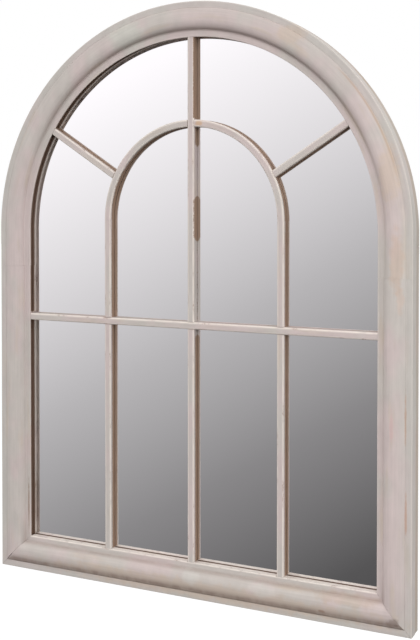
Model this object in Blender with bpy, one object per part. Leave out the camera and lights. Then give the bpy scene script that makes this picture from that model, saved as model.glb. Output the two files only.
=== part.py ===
"""Arched window mirror: a moulded wooden frame and a lattice of glazing bars over one mirror sheet.

Metres, +Z up. The wall is the plane Y = 0, the front looks along -Y and X runs along the wall.
The origin is the middle of the bottom rail's back face, where the frame bears on the wall.
The frame has two layers: a moulded front and, glued behind it, a plain back frame whose larger
opening holds the mirror and its board.
"""
import math

import bmesh
import bpy
from mathutils import Vector

# Overall sizes
overall_width = 0.870
springing_height = 0.698
head_leg_length = 0.075
back_leg_length = 0.020

# Fits between pieces
fit_gap = 0.0003
cut_overrun = 0.004

# Front moulding: a flat lip, a small quirk, a broad torus and an inner band with a rounded edge
moulding_width = 0.066
moulding_depth = 0.022
lip_width = 0.0125
lip_edge_radius = 0.0012
outer_quirk_depth = 0.0030
quirk_width = 0.0010
torus_proud = 0.0036
bead_width = 0.0115
bead_recess = 0.0095
bead_edge_radius = 0.0040
reveal_undercut = 0.0025
torus_steps = 16
bead_steps = 5
edge_steps = 3

# Back frame
rebate_width = 0.010
back_frame_depth = 0.020
layer_setback = 0.0006

# Glazing bars
bar_width = 0.014
bar_depth = 0.0115
bar_arris_radius = 0.0030
bar_let_in = 0.004
transom_drop = 0.179
inner_arch_lift = 0.022
lap_length = 0.020
spoke_angle = math.radians(32.5)

# Mirror sheet and its board
sheet_clearance = 0.002
glass_thickness = 0.004
board_thickness = 0.006

# Offset clips that press the board against the mirror
clip_width = 0.016
clip_thickness = 0.001
clip_foot_length = 0.011
clip_tab_length = 0.018
clip_riser_clearance = 0.0008
clip_height_shares = (0.12, 0.45, 0.78)
clip_width_shares = (-0.5, 0.5)
clip_arch_angles = (math.radians(30), math.radians(90), math.radians(150))

# Strap hangers with a loose D-ring
hanger_drop = 0.050
hanger_inset = 0.024
strap_width = 0.014
strap_length = 0.048
strap_thickness = 0.0015
strap_curl_angle = math.radians(290)
strap_end_radius = 0.005
strap_screw_drops = (0.027, 0.040)
ring_wire_radius = 0.00175
ring_inner_width = 0.024
ring_leg_length = 0.006
ring_corner_radius = 0.003

# Screws: shank radius, head radius, head height and length under the head
clip_screw_shank = 0.0017
clip_screw_head = 0.0035
clip_screw_head_height = 0.0020
clip_screw_length = 0.014
hanger_screw_shank = 0.0020
hanger_screw_head = 0.0040
hanger_screw_head_height = 0.0024
hanger_screw_length = 0.016
screw_point_length = 0.003

# Facets
arch_steps = 56
bar_arch_steps = 44
screw_sides = 12
wire_sides = 8
bow_steps = 14
corner_steps = 4
curl_steps = 20

# Worked-out planes and radii
frame_depth = moulding_depth + fit_gap + back_frame_depth
back_frame_width = moulding_width - rebate_width
origin_height = back_frame_width / 2
outer_radius = overall_width / 2
sight_radius = outer_radius - moulding_width
back_opening_radius = outer_radius - back_frame_width
bar_spacing = sight_radius / 2
bar_front = moulding_depth - bar_depth
bar_middle = moulding_depth - bar_depth / 2
inner_springing_height = springing_height + inner_arch_lift
inner_arch_radius = bar_spacing + bar_width / 2
transom_height = springing_height - transom_drop
transom_let_in = bead_width
glass_front = -back_frame_depth
board_front = glass_front + glass_thickness + fit_gap
board_back = board_front + board_thickness
clip_pocket_depth = clip_thickness + clip_screw_head_height + fit_gap * 3

ACROSS = Vector((1, 0, 0))
UP = Vector((0, 0, 1))


def level(height):
    """World Z of a height above the frame's bottom edge."""
    return height - origin_height


def behind_lip(depth):
    """World Y of a depth behind the plane of the lip's front."""
    return depth - frame_depth


def quarter_turn(centre_u, centre_d, radius, start, finish, steps):
    """Points of an arc in a profile, from one angle to another."""
    turn = finish - start
    angles = [start + turn * i / steps for i in range(steps + 1)]
    return [(centre_u + radius * math.cos(a), centre_d + radius * math.sin(a)) for a in angles]


def swell(start, finish, height, steps):
    """A half-round swell over the straight line between two profile points."""
    middle = (start[0] + finish[0]) / 2
    half = (finish[0] - start[0]) / 2
    points = []
    for i in range(steps + 1):
        side = -math.cos(math.pi * i / steps)
        share = (1 + side) / 2
        base = start[1] + (finish[1] - start[1]) * share
        points.append((middle + half * side, base - height * math.sqrt(max(0, 1 - side * side))))
    return points


def moulding_profile():
    """The front moulding in (distance in from the outer edge, depth behind the lip)."""
    lip_corner = quarter_turn(
        lip_edge_radius, lip_edge_radius, lip_edge_radius, math.pi, math.pi * 3 / 2, edge_steps)
    lip_inner = quarter_turn(
        lip_width - lip_edge_radius, lip_edge_radius, lip_edge_radius,
        math.pi * 3 / 2, math.pi * 2, edge_steps)
    torus_start = (lip_width + quirk_width, outer_quirk_depth)
    torus_end = (moulding_width - bead_width, bead_recess)
    torus_height = (outer_quirk_depth + bead_recess) / 2 + torus_proud
    torus = swell(torus_start, torus_end, torus_height, torus_steps)
    bead_foot = bead_recess + bead_edge_radius
    bead = quarter_turn(
        moulding_width - bead_edge_radius, bead_foot, bead_edge_radius,
        math.pi * 3 / 2, math.pi * 2, bead_steps)
    undercut = moulding_width - reveal_undercut
    reveal = [(undercut, bead_foot + reveal_undercut / 2), (undercut, moulding_depth)]
    outline = [(0, moulding_depth)] + lip_corner + lip_inner + [(lip_width, outer_quirk_depth)]
    return outline + torus + bead + reveal


def back_profile():
    """The back frame's plain section, measured as the moulding's is."""
    front = moulding_depth + fit_gap
    return [(layer_setback, frame_depth), (layer_setback, front),
            (back_frame_width, front), (back_frame_width, frame_depth)]


def bar_profile():
    """A glazing bar's section: square at the glass and rounded at its two front arrises."""
    near = quarter_turn(
        bar_arris_radius, bar_front + bar_arris_radius, bar_arris_radius,
        math.pi, math.pi * 3 / 2, edge_steps)
    far = quarter_turn(
        bar_width - bar_arris_radius, bar_front + bar_arris_radius, bar_arris_radius,
        math.pi * 3 / 2, math.pi * 2, edge_steps)
    return [(0, moulding_depth)] + near + far + [(bar_width, moulding_depth)]


def material(name, colour, roughness, metallic=0):
    """One Principled material, made once and shared by name."""
    found = bpy.data.materials.get(name)
    if found:
        return found
    made = bpy.data.materials.new(name)
    made.use_nodes = True
    made.diffuse_color = (*colour, 1)
    shader = made.node_tree.nodes["Principled BSDF"]
    shader.inputs["Base Color"].default_value = (*colour, 1)
    shader.inputs["Roughness"].default_value = roughness
    shader.inputs["Metallic"].default_value = metallic
    return made


def finish_material(finish):
    """The finishes of this mirror."""
    finishes = {
        "whitewash": ((0.56, 0.49, 0.45), 0.65, 0),
        "bare_wood": ((0.35, 0.24, 0.15), 0.75, 0),
        "mirror": ((0.90, 0.91, 0.92), 0.02, 1),
        "board": ((0.30, 0.20, 0.12), 0.80, 0),
        "zinc": ((0.62, 0.63, 0.65), 0.35, 1),
    }
    return material(finish, *finishes[finish])


def skin_mesh(name, rings, closed=False):
    """Joins rings of points into one closed mesh, with flat ends or as a loop."""
    shape = bmesh.new()
    loops = [[shape.verts.new(point) for point in ring] for ring in rings]
    count = len(loops[0])
    pairs = list(zip(loops, loops[1:]))
    if closed:
        pairs.append((loops[-1], loops[0]))
    else:
        shape.faces.new(loops[0])
        shape.faces.new(reversed(loops[-1]))
    for here, there in pairs:
        for i in range(count):
            j = (i + 1) % count
            shape.faces.new((here[i], there[i], there[j], here[j]))
    bmesh.ops.recalc_face_normals(shape, faces=shape.faces)
    mesh = bpy.data.meshes.new(name)
    shape.to_mesh(mesh)
    shape.free()
    mesh.shade_smooth()
    mesh.set_sharp_from_angle(angle=math.radians(32))
    return mesh


def add_piece(name, mesh, finish, place=(0, 0, 0), turn=0):
    """Puts a named piece in the scene under the frame's origin."""
    piece = bpy.data.objects.new(name, mesh)
    if not mesh.materials:
        mesh.materials.append(finish_material(finish))
    piece.location = place
    piece.rotation_euler = (0, turn, 0)
    piece.parent = bpy.data.objects["mirror_origin"]
    bpy.context.collection.objects.link(piece)
    return piece


def add_cutter(name, mesh, place=(0, 0, 0), turn=0):
    """A guide solid that only cuts other pieces."""
    cutter = add_piece(name, mesh, "bare_wood", place, turn)
    cutter.hide_render = True
    cutter.display_type = "WIRE"
    return cutter


def cut(piece, cutter):
    """Takes the cutter out of the piece."""
    boolean = piece.modifiers.new(cutter.name, "BOOLEAN")
    boolean.operation = "DIFFERENCE"
    boolean.solver = "EXACT"
    boolean.object = cutter


def box_cutter(name, centre, size, turn=0):
    """A box given by its centre and its three sizes, turned about Y."""
    half = Vector(size) / 2
    outline = [(-half.x, -half.z), (half.x, -half.z), (half.x, half.z), (-half.x, half.z)]
    rings = [[(x, y, z) for x, z in outline] for y in (-half.y, half.y)]
    return add_cutter(name, skin_mesh(name, rings), centre, turn)


def depth_slab(near, far):
    """Middle and thickness along Y of a slab between two depths behind the lip."""
    return behind_lip((near + far) / 2), far - near


def straight_run(name, profile, corner, across, along, start, finish, slopes=(0, 0)):
    """A straight length of a profile; slopes lean its ends over the profile's width."""
    rings = []
    for distance, slope in ((start, slopes[0]), (finish, slopes[1])):
        ring = []
        for inward, depth in profile:
            point = corner + across * inward + along * (distance + slope * inward)
            ring.append((point.x, behind_lip(depth), point.z))
        rings.append(ring)
    return skin_mesh(name, rings)


def arch_run(name, profile, radius, centre_height, leg, steps):
    """A profile swept over a half circle with a straight leg under each end."""
    stations = [(math.pi * (1 - i / steps), 0) for i in range(steps + 1)]
    if leg:
        stations = [(math.pi, leg)] + stations + [(0, leg)]
    rings = []
    for angle, drop in stations:
        ring = []
        for inward, depth in profile:
            reach = radius - inward
            height = centre_height + reach * math.sin(angle) - drop
            ring.append((reach * math.cos(angle), behind_lip(depth), level(height)))
        rings.append(ring)
    return skin_mesh(name, rings)


def arched_sheet(name, finish, front, thickness):
    """A flat arched sheet that stands on the bottom rail and has room at its sides."""
    radius = back_opening_radius - sheet_clearance
    foot = back_frame_width + fit_gap
    outline = [(radius, foot)]
    for i in range(arch_steps + 1):
        angle = math.pi * i / arch_steps
        outline.append((radius * math.cos(angle), springing_height + radius * math.sin(angle)))
    outline.append((-radius, foot))
    rings = [[(x, y, level(h)) for x, h in outline] for y in (front, front + thickness)]
    return add_piece(name, skin_mesh(name, rings), finish)


def front_frame():
    """The moulded front: an arched head, two stiles and a bottom rail mitred to them."""
    profile = moulding_profile()
    half_joint = fit_gap / 2
    mitre = fit_gap * math.sqrt(2) / 2
    joint = springing_height - head_leg_length
    head = arch_run("arch_head", profile, outer_radius, springing_height,
                    head_leg_length - half_joint, arch_steps)
    pieces = {"arch_head": add_piece("arch_head", head, "whitewash")}
    for name, side in (("left_stile", -1), ("right_stile", 1)):
        corner = Vector((side * outer_radius, 0, level(0)))
        mesh = straight_run(name, profile, corner, ACROSS * -side, UP, mitre,
                            joint - half_joint, (1, 0))
        pieces[name] = add_piece(name, mesh, "whitewash")
    corner = Vector((-outer_radius, 0, level(0)))
    mesh = straight_run("bottom_rail", profile, corner, UP, ACROSS, mitre,
                        overall_width - mitre, (1, -1))
    pieces["bottom_rail"] = add_piece("bottom_rail", mesh, "whitewash")
    return pieces


def back_frame():
    """The plain layer behind the moulding, with joints away from the front's."""
    profile = back_profile()
    half_joint = fit_gap / 2
    arch = arch_run("back_arch", profile, outer_radius, springing_height,
                    back_leg_length - half_joint, arch_steps)
    pieces = {"back_arch": add_piece("back_arch", arch, "bare_wood")}
    top = springing_height - back_leg_length - half_joint
    for name, side in (("back_left_stile", -1), ("back_right_stile", 1)):
        corner = Vector((side * outer_radius, 0, level(0)))
        mesh = straight_run(name, profile, corner, ACROSS * -side, UP, layer_setback, top)
        pieces[name] = add_piece(name, mesh, "bare_wood")
    corner = Vector((0, 0, level(0)))
    reach = back_opening_radius - fit_gap
    mesh = straight_run("back_bottom_rail", profile, corner, UP, ACROSS, -reach, reach)
    pieces["back_bottom_rail"] = add_piece("back_bottom_rail", mesh, "bare_wood")
    return pieces


def house_bar_end(piece, name, place, direction, let_in):
    """Cuts the open housing in the bead that takes a bar's end."""
    near, thickness = depth_slab(-cut_overrun, moulding_depth + cut_overrun)
    length = let_in + fit_gap + cut_overrun
    middle = Vector(place) + direction * (length / 2 - cut_overrun)
    middle.y = near
    turn = -math.atan2(direction.z, direction.x)
    size = (length, thickness, bar_width + fit_gap * 2)
    cut(piece, box_cutter(name, middle, size, turn))


def transom(stiles):
    """The level bar, unbroken at the front and let into both stiles."""
    reach = sight_radius + transom_let_in
    corner = Vector((0, 0, level(transom_height - bar_width / 2)))
    mesh = straight_run("transom_bar", bar_profile(), corner, UP, ACROSS, -reach, reach)
    bar = add_piece("transom_bar", mesh, "whitewash")
    middle, thickness = depth_slab(bar_middle - fit_gap / 2, moulding_depth + cut_overrun)
    size = (bar_width + fit_gap * 2, thickness, bar_width + cut_overrun)
    for i, x in enumerate((-bar_spacing, 0, bar_spacing)):
        place = (x, middle, level(transom_height))
        cut(bar, box_cutter("transom_halving_%d" % i, place, size))
    for stile, side in zip(stiles, (-1, 1)):
        place = (side * sight_radius, 0, level(transom_height))
        house_bar_end(stile, "transom_housing_%d" % side, place, ACROSS * side, transom_let_in)
    return bar


def upright(name, x, top, rail):
    """A vertical bar let into the bottom rail and halved behind the transom."""
    corner = Vector((x - bar_width / 2, 0, 0))
    foot = moulding_width - bar_let_in
    mesh = straight_run(name, bar_profile(), corner, ACROSS, UP, level(foot), level(top))
    bar = add_piece(name, mesh, "whitewash")
    middle, thickness = depth_slab(bar_front - cut_overrun, bar_middle + fit_gap / 2)
    size = (bar_width + cut_overrun, thickness, bar_width + fit_gap * 2)
    place = (x, middle, level(transom_height))
    cut(bar, box_cutter(name + "_halving", place, size))
    house_bar_end(rail, name + "_housing", (x, 0, level(moulding_width)), -UP, bar_let_in)
    return bar


def side_uprights(rail):
    """The outer two vertical bars, lapped over the inner arch's ends."""
    middle, thickness = depth_slab(bar_middle - fit_gap / 2, moulding_depth + cut_overrun)
    size = (bar_width + cut_overrun, thickness, lap_length + cut_overrun + fit_gap)
    height = inner_springing_height + (cut_overrun - lap_length - fit_gap) / 2
    for name, x in (("left_bar", -bar_spacing), ("right_bar", bar_spacing)):
        bar = upright(name, x, inner_springing_height - fit_gap / 2, rail)
        cut(bar, box_cutter(name + "_lap", (x, middle, level(height)), size))


def centre_upright(rail, head):
    """The middle bar, which runs to the crown and passes in front of the inner arch."""
    crown = springing_height + sight_radius
    bar = upright("centre_bar", 0, crown + bar_let_in, rail)
    inner = inner_arch_radius - bar_width
    edge = bar_width / 2 + fit_gap
    low = inner_springing_height + math.sqrt(inner * inner - edge * edge) - fit_gap
    high = inner_springing_height + inner_arch_radius + fit_gap
    middle, thickness = depth_slab(bar_middle - fit_gap / 2, moulding_depth + cut_overrun)
    size = (bar_width + cut_overrun, thickness, high - low)
    place = (0, middle, level((high + low) / 2))
    cut(bar, box_cutter("centre_bar_arch_halving", place, size))
    house_bar_end(head, "centre_bar_crown_housing", (0, 0, level(crown)), UP, bar_let_in)


def inner_arch():
    """The inner half circle, on legs that lap behind the side bars."""
    mesh = arch_run("inner_arch", bar_profile(), inner_arch_radius, inner_springing_height,
                    lap_length, bar_arch_steps)
    arch = add_piece("inner_arch", mesh, "whitewash")
    middle, thickness = depth_slab(bar_front - cut_overrun, bar_middle + fit_gap / 2)
    size = (bar_width + cut_overrun, thickness, lap_length + cut_overrun + fit_gap / 2)
    height = inner_springing_height + fit_gap / 2 - size[2] / 2
    for i, x in enumerate((-bar_spacing, bar_spacing)):
        cut(arch, box_cutter("arch_lap_%d" % i, (x, middle, level(height)), size))
    size = (bar_width + fit_gap * 2, thickness, bar_width + cut_overrun * 2)
    crown = inner_springing_height + bar_spacing
    cut(arch, box_cutter("arch_halving", (0, middle, level(crown)), size))


def spokes(head):
    """The two radial bars, coped to the inner arch and let into the head."""
    centre = Vector((0, 0, level(springing_height)))
    middle, thickness = depth_slab(bar_front - cut_overrun, moulding_depth + cut_overrun)
    angles = [math.tau * i / (bar_arch_steps * 2) for i in range(bar_arch_steps * 2)]
    reach = inner_arch_radius + fit_gap
    rings = [[(reach * math.cos(a), y, reach * math.sin(a)) for a in angles]
             for y in (-thickness / 2, thickness / 2)]
    place = (0, middle, level(inner_springing_height))
    coping = add_cutter("spoke_coping", skin_mesh("spoke_coping", rings), place)
    for name, angle in (("left_spoke", math.pi - spoke_angle), ("right_spoke", spoke_angle)):
        along = Vector((math.cos(angle), 0, math.sin(angle)))
        across = Vector((-math.sin(angle), 0, math.cos(angle)))
        corner = centre - across * bar_width / 2
        mesh = straight_run(name, bar_profile(), corner, across, along,
                            bar_spacing, sight_radius + bar_let_in)
        cut(add_piece(name, mesh, "whitewash"), coping)
        place = centre + along * sight_radius
        house_bar_end(head, name + "_housing", place, along, bar_let_in)


def screw_mesh(name, shank, head, head_height, length):
    """A pan-head screw along -Y, with its head's seat at the origin."""
    outline = [(0, -length), (shank, screw_point_length - length), (shank, 0),
               (head, 0), (head, head_height / 2), (head * 3 / 4, head_height), (0, head_height)]
    shape = bmesh.new()
    chain = [shape.verts.new((r, y, 0)) for r, y in outline]
    edges = [shape.edges.new(pair) for pair in zip(chain, chain[1:])]
    bmesh.ops.spin(shape, geom=chain + edges, cent=(0, 0, 0), axis=(0, 1, 0),
                   angle=math.tau, steps=screw_sides)
    bmesh.ops.remove_doubles(shape, verts=shape.verts, dist=fit_gap / 10)
    bmesh.ops.recalc_face_normals(shape, faces=shape.faces)
    mesh = bpy.data.meshes.new(name)
    shape.to_mesh(mesh)
    shape.free()
    mesh.shade_smooth()
    mesh.set_sharp_from_angle(angle=math.radians(32))
    return mesh


def bore(piece, name, place, radius, length):
    """Drills a round hole along Y, from just behind the wall plane into the piece."""
    angles = [math.tau * i / screw_sides for i in range(screw_sides)]
    rings = [[(radius * math.cos(a), y, radius * math.sin(a)) for a in angles]
             for y in (-length, cut_overrun)]
    cut(piece, add_cutter(name, skin_mesh(name, rings), place))


def clip_mesh(name, tab):
    """An offset clip with its tab at one depth: X points outwards and Z runs along the edge."""
    foot = board_back + fit_gap
    near = -clip_riser_clearance
    far = near - clip_thickness
    outline = [(-clip_foot_length, foot), (near, foot), (near, tab), (clip_tab_length, tab),
               (clip_tab_length, tab + clip_thickness), (far, tab + clip_thickness),
               (far, foot + clip_thickness), (-clip_foot_length, foot + clip_thickness)]
    rings = [[(x, y, z) for x, y in outline] for z in (-clip_width / 2, clip_width / 2)]
    return skin_mesh(name, rings)


def clip_places():
    """Where the clips sit on the back opening's edge, with the direction out of the opening."""
    places = []
    for share in clip_height_shares:
        height = springing_height * share
        places.append(("back_right_stile", back_opening_radius, height, 0))
        places.append(("back_left_stile", -back_opening_radius, height, math.pi))
    for share in clip_width_shares:
        places.append(("back_bottom_rail", back_opening_radius * share, back_frame_width,
                       math.pi * 3 / 2))
    for angle in clip_arch_angles:
        x = back_opening_radius * math.cos(angle)
        height = springing_height + back_opening_radius * math.sin(angle)
        places.append(("back_arch", x, height, angle))
    return places


def clip_pocket(rail, name, edge, outward):
    """Lets a clip and its screw's head into the rail that bears on the wall."""
    length = clip_tab_length + fit_gap + cut_overrun
    thickness = clip_pocket_depth + cut_overrun
    middle = edge + outward * (length / 2 - cut_overrun)
    middle.y = cut_overrun - thickness / 2
    turn = -math.atan2(outward.z, outward.x)
    size = (length, thickness, clip_width + fit_gap * 2)
    cut(rail, box_cutter(name, middle, size, turn))


def board_clips(pieces):
    """The clips round the board, each with its screw into the back frame."""
    flush = clip_mesh("board_clip", fit_gap)
    sunk = clip_mesh("sunk_board_clip", fit_gap - clip_pocket_depth)
    screw = screw_mesh("clip_screw", clip_screw_shank, clip_screw_head,
                       clip_screw_head_height, clip_screw_length)
    reach = clip_tab_length / 2
    hole = clip_screw_shank + fit_gap
    seat = clip_thickness + fit_gap * 2
    for i, (carrier, x, height, angle) in enumerate(clip_places(), start=1):
        edge = Vector((x, 0, level(height)))
        outward = Vector((math.cos(angle), 0, math.sin(angle)))
        middle = edge + outward * reach
        mesh = flush
        if carrier == "back_bottom_rail":
            clip_pocket(pieces[carrier], "clip_pocket_%02d" % i, edge, outward)
            middle.y = -clip_pocket_depth
            mesh = sunk
        clip = add_piece("board_clip_%02d" % i, mesh, "zinc", edge, -angle)
        bore(clip, "clip_hole_%02d" % i, middle, hole, cut_overrun)
        add_piece("clip_screw_%02d" % i, screw, "zinc", middle + Vector((0, seat, 0)))
        bore(pieces[carrier], "clip_pilot_%02d" % i, middle, hole, clip_screw_length)


def round_foot(mesh, foot):
    """Rounds the two lower corners of a strap."""
    shape = bmesh.new()
    shape.from_mesh(mesh)
    low = [e for e in shape.edges
           if all(v.co.z < foot + fit_gap for v in e.verts)
           and abs(e.verts[0].co.x - e.verts[1].co.x) < fit_gap]
    bmesh.ops.bevel(shape, geom=low, offset=strap_end_radius, segments=corner_steps,
                    profile=1 / 2, affect="EDGES")
    shape.to_mesh(mesh)
    shape.free()


def strap_mesh():
    """A steel strap whose upper end curls round the ring's bar, which is the origin."""
    inner = ring_wire_radius + fit_gap
    outer = inner + strap_thickness
    curl = [strap_curl_angle * i / curl_steps - math.pi / 2 for i in range(curl_steps + 1)]
    outside = [(outer * math.sin(a), outer * math.cos(a)) for a in curl]
    inside = [(inner * math.sin(a), inner * math.cos(a)) for a in curl]
    foot = -strap_length
    outline = [(-outer, foot)] + outside + inside[::-1] + [(-inner, foot)]
    rings = [[(x, y, z) for y, z in outline] for x in (-strap_width / 2, strap_width / 2)]
    mesh = skin_mesh("hanger_strap", rings)
    round_foot(mesh, foot)
    return mesh


def ring_mesh():
    """A closed D of round wire that hangs from its straight bar, which is the origin."""
    half = ring_inner_width / 2 + ring_wire_radius
    corner = ring_corner_radius
    low = -ring_leg_length
    quarter = math.pi / 2
    path = []
    for i in range(corner_steps + 1):
        a = quarter * i / corner_steps
        path.append((half - corner + corner * math.sin(a), corner * (math.cos(a) - 1), quarter - a))
    for i in range(bow_steps + 1):
        a = -math.pi * i / bow_steps
        path.append((half * math.cos(a), low + half * math.sin(a), a))
    for i in range(corner_steps + 1):
        a = -quarter * i / corner_steps
        path.append((-half + corner - corner * math.cos(a), -corner * (math.sin(a) + 1), math.pi + a))
    sides = [math.tau * i / wire_sides for i in range(wire_sides)]
    rings = []
    for x, z, out in path:
        rings.append([(x + ring_wire_radius * math.cos(s) * math.cos(out),
                       ring_wire_radius * math.sin(s),
                       z + ring_wire_radius * math.cos(s) * math.sin(out)) for s in sides])
    return skin_mesh("hanger_ring", rings, closed=True)


def hangers(pieces):
    """A strap, a loose ring and two screws on the back of each stile."""
    strap = strap_mesh()
    ring = ring_mesh()
    screw = screw_mesh("hanger_screw", hanger_screw_shank, hanger_screw_head,
                       hanger_screw_head_height, hanger_screw_length)
    hole = hanger_screw_shank + fit_gap
    axis_y = fit_gap + strap_thickness + fit_gap + ring_wire_radius
    seat = strap_thickness + fit_gap * 2
    for side_name, side in (("left", -1), ("right", 1)):
        x = side * (outer_radius - hanger_inset)
        axis_z = level(springing_height - hanger_drop)
        plate = add_piece("hanger_strap_" + side_name, strap, "zinc", (x, axis_y, axis_z))
        add_piece("hanger_ring_" + side_name, ring, "zinc", (x, axis_y, axis_z))
        carrier = pieces["back_%s_stile" % side_name]
        for i, drop in enumerate(strap_screw_drops, start=1):
            label = "%s_%d" % (side_name, i)
            place = Vector((x, 0, axis_z - drop))
            bore(plate, "strap_hole_" + label, place, hole, cut_overrun)
            bore(carrier, "strap_pilot_" + label, place, hole, hanger_screw_length)
            add_piece("hanger_screw_" + label, screw, "zinc", place + Vector((0, seat, 0)))


def clear_scene():
    """Starts from an empty scene."""
    for old in list(bpy.data.objects):
        bpy.data.objects.remove(old, do_unlink=True)


def build():
    """Makes the whole mirror."""
    clear_scene()
    origin = bpy.data.objects.new("mirror_origin", None)
    bpy.context.collection.objects.link(origin)
    front = front_frame()
    back = back_frame()
    transom((front["left_stile"], front["right_stile"]))
    side_uprights(front["bottom_rail"])
    centre_upright(front["bottom_rail"], front["arch_head"])
    inner_arch()
    spokes(front["arch_head"])
    arched_sheet("mirror_sheet", "mirror", glass_front, glass_thickness)
    arched_sheet("backing_board", "board", board_front, board_thickness)
    board_clips(back)
    hangers(back)


build()
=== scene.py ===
# %% [markdown]
# An arched window mirror: a moulded wooden frame under a worn whitewash, a lattice of glazing bars
# and one sheet of mirror glass behind them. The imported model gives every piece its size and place.
# This script dresses it: smooth moulded meshes, layered paint, real mirror glass and soft light.

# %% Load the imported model
import math
from types import SimpleNamespace

import bmesh
import bpy
from mathutils import Matrix, Vector


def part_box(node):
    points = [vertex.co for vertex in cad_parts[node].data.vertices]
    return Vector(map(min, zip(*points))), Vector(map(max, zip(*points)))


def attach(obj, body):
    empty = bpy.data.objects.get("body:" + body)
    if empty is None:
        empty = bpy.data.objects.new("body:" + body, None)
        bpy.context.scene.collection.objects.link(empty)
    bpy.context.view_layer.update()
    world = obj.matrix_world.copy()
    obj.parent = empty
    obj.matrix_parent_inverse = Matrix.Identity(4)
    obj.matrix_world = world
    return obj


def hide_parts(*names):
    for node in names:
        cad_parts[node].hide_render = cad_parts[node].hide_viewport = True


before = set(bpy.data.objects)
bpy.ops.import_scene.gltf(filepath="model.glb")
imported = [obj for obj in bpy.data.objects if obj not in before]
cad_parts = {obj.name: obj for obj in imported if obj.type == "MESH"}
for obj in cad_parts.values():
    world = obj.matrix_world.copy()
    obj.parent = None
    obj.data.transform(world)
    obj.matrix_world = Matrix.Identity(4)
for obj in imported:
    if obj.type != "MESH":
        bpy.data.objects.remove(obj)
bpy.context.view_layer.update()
print("nodes:", len(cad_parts))

# %% [markdown]
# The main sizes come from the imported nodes' boxes, so the dressed pieces stay on the real ones.
# X runs along the wall, Z is up and the front looks along -Y. A depth is measured back from the
# plane of the frame's flat outer lip. A gap is the play in a joint, and a seam the hairline between
# two pieces that butt.

# %% Read the main sizes
head_low, head_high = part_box("arch_head")
stile_low, stile_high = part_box("left_stile")
bar_low, bar_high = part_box("left_bar")
centre_low, centre_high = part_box("centre_bar")
arch_low, arch_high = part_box("inner_arch")
transom_low, transom_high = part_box("transom_bar")
back_arch_low, back_arch_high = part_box("back_arch")
back_stile_low, back_stile_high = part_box("back_left_stile")
back_rail_low, back_rail_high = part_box("back_bottom_rail")
outer_radius = head_high.x
spring_level = head_high.z - outer_radius
head_foot = head_low.z
foot_level = stile_low.z
face_width = stile_high.x + outer_radius
front_depth = 0.022
lip_plane = stile_high.y - front_depth
sight_radius = outer_radius - face_width
bar_width = bar_high.x - bar_low.x
bar_place = -(bar_high.x + bar_low.x) / 2
bar_plane = bar_low.y
bar_back = bar_high.y
bar_middle = (bar_plane + bar_back) / 2
transom_level = (transom_low.z + transom_high.z) / 2
inner_radius = arch_high.x
inner_level = arch_high.z - inner_radius
inner_foot = arch_low.z
gap = 0.0003
seam = 0.0001
print("outer radius %.3f, sight radius %.3f, spring level %.3f" % (outer_radius, sight_radius, spring_level))
print("bars %.4f wide at %.4f, front at %.4f" % (bar_width, bar_place, bar_plane))

# %% [markdown]
# Colours are easiest to judge as screen tones from 0 to 255. Shaders want linear light, so one
# helper turns a tone into a linear colour. The others keep the node trees short to read.

# %% Colour, node and object helpers


def tone(red, green, blue):
    """A linear colour from three screen tones."""
    linear = []
    for value in (red, green, blue):
        share = value / 255
        linear.append(share / 12.92 if share <= 0.04045 else ((share + 0.055) / 1.055) ** 2.4)
    return (*linear, 1)


class Value:
    """A node's output to reckon with: each step adds a node to its tree."""

    def __init__(self, socket):
        self.socket = socket
        self.tree = socket.id_data

    def maths(self, operation, other=0.0):
        return out(self.tree, "ShaderNodeMath", {0: self, 1: other}, operation=operation)

    def vector(self, operation, other=(0.0, 0.0, 0.0)):
        key = "Value" if operation in ("LENGTH", "DOT_PRODUCT") else "Vector"
        return out(self.tree, "ShaderNodeVectorMath", {0: self, 1: other}, key, operation=operation)

    def __add__(self, other):
        return self.maths("ADD", other)

    def __sub__(self, other):
        return self.maths("SUBTRACT", other)

    def __mul__(self, other):
        return self.maths("MULTIPLY", other)

    def __abs__(self):
        return self.maths("ABSOLUTE")

    def ranged(self, low, high, least=0.0, most=1.0, kind="LINEAR"):
        """Where it lies between two levels, as a number from the least to the most."""
        values = {"Value": self, 1: low, 2: high, 3: least, 4: most}
        return out(self.tree, "ShaderNodeMapRange", values, interpolation_type=kind)

    def between(self, low, high):
        """Where it lies between two levels, from 0 to 1, with soft ends."""
        return self.ranged(low, high, kind="SMOOTHSTEP")

    def mix(self, first, second):
        """Two colours mixed by it as a share."""
        return out(self.tree, "ShaderNodeMix", {0: self, 6: first, 7: second}, 2, data_type="RGBA")

    def noise(self, scales, detail=2.0, roughness=0.5):
        """Noise in it as a space, stretched by three scales."""
        values = {"Vector": self.vector("MULTIPLY", scales), "Scale": 1.0, "Detail": detail,
                  "Roughness": roughness}
        return out(self.tree, "ShaderNodeTexNoise", values)


def feed(node, values):
    """Sets a node's inputs; an output as a value is linked."""
    for key, value in values.items():
        socket = getattr(value, "socket", value)
        if isinstance(socket, bpy.types.NodeSocket):
            node.id_data.links.new(socket, node.inputs[key])
        else:
            node.inputs[key].default_value = value
    return node


def put(tree, kind, values=None, **settings):
    """Adds a node with its options and its inputs."""
    node = tree.nodes.new(kind)
    for name, value in settings.items():
        setattr(node, name, value)
    return feed(node, values or {})


def out(tree, kind, values=None, key=0, **settings):
    """Adds a node and returns one of its outputs."""
    return Value(put(tree, kind, values, **settings).outputs[key])


def blank_material(name):
    """A new material with only a Principled shader and its output."""
    made = bpy.data.materials.new(name)
    made.use_nodes = True
    return made, made.node_tree.nodes["Principled BSDF"]


def show(name, data):
    """A new object in the scene."""
    made = bpy.data.objects.new(name, data)
    bpy.context.collection.objects.link(made)
    return made


# %% [markdown]
# The camera stands to the mirror's right, a little above its middle, and looks slightly down. Its
# picture is shifted, as a view camera's is, so the uprights stay upright.

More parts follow.
